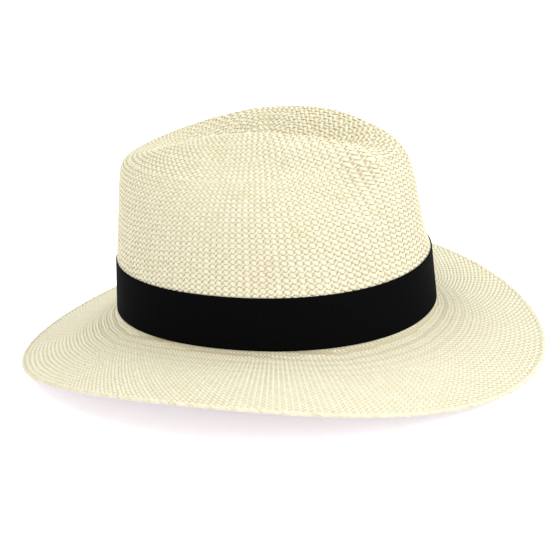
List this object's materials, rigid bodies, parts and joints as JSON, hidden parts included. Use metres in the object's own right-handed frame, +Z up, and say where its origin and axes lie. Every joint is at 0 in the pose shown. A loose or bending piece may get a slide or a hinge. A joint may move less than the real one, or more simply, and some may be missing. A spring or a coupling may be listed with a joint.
{
  "type": "panama hat",
  "caption": "Woven straw fedora with a centre dent, two front pinches, a wide shaped brim, a black ribbon band with a flat side bow, and a leather sweatband.",
  "frame": {"origin": "on the table under the middle of the brim; the brim's front and back tips rest on it", "axes": "+Z up through the crown, -Y towards the wearer's face side, +X towards the wearer's left, where the bow is"},
  "size_m": [0.2972, 0.3438, 0.1537],
  "materials": {
    "straw": "matte woven palm straw, natural cream, faint sheen along each strand",
    "grosgrain": "black ribbed ribbon, soft sheen across the ribs",
    "sweatband_leather": "thin smooth sheepskin, light tan, satin",
    "reed_plastic": "translucent off-white plastic reed",
    "reed_tape": "plain woven tape, tan",
    "straw_thread": "cream sewing thread",
    "dark_thread": "black sewing thread",
    "label_cloth": "white woven satin, blank",
    "narrow_ribbon": "brown narrow ribbon"
  },
  "bodies": {
    "root": {"straw_body": "straw", "hatband_ribbon": "grosgrain", "bow_tail": "grosgrain", "bow_loops": "grosgrain", "bow_keeper": "grosgrain", "bow_tack_stitches": "dark_thread", "sweatband_leather": "sweatband_leather", "sweatband_reed": "reed_plastic", "sweatband_reed_tape": "reed_tape", "sweatband_hat_stitches": "straw_thread", "sweatband_edge_stitches": "straw_thread", "sweatband_seam_stitches": "straw_thread", "sweatband_bow": "narrow_ribbon", "size_label": "label_cloth"}
  },
  "joints": []
}
